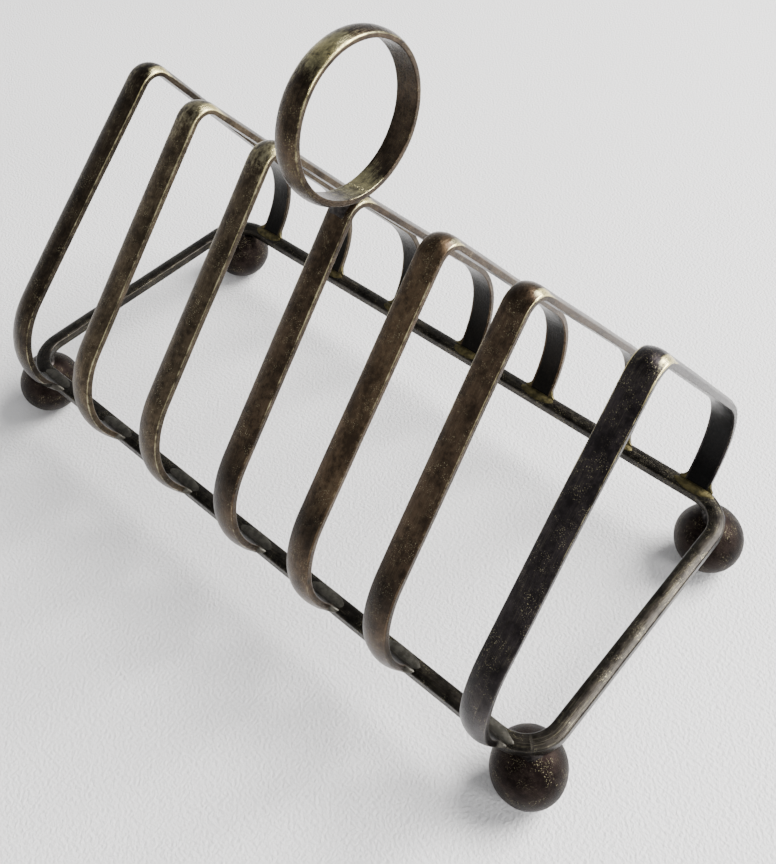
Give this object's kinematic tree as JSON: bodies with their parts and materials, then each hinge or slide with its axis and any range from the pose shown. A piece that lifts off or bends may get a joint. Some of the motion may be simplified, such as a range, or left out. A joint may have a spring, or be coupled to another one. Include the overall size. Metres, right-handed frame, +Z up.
{
  "type": "toast rack",
  "caption": "Free-standing toast rack with bent strip hoops across a rectangular base bar, ball feet and a ring handle.",
  "frame": {"origin": "on the table, under the middle of the rack's outline", "axes": "+X along the rack, towards the ball foot that is nearest in the picture; +Y across the rack, away from the viewer; +Z up"},
  "size_m": [0.1408, 0.0744, 0.1052],
  "materials": {
    "base_silver": "tarnished silver plate, satin",
    "hoop_silver": "dark tarnished silver plate, satin",
    "ring_silver": "worn silver plate, polished",
    "ball_silver": "dark tarnished silver plate, matte",
    "seam_solder": "bright solder, satin",
    "foot_solder_grey": "grey solder, satin",
    "dark_solder": "dark solder, matte"
  },
  "bodies": {
    "root": {"base_frame": "base_silver", "base_seam": "seam_solder", "hoop_1": "hoop_silver", "hoop_2": "hoop_silver", "hoop_3": "hoop_silver", "hoop_4": "hoop_silver", "hoop_5": "hoop_silver", "hoop_6": "hoop_silver", "hoop_7": "hoop_silver", "hoop_solder_front": "foot_solder_grey", "hoop_solder_rear": "foot_solder_grey", "ring_handle": "ring_silver", "ring_solder": "dark_solder", "foot_front_left": "ball_silver", "foot_front_right": "ball_silver", "foot_rear_left": "ball_silver", "foot_rear_right": "ball_silver", "foot_solder": "dark_solder"}
  },
  "joints": []
}
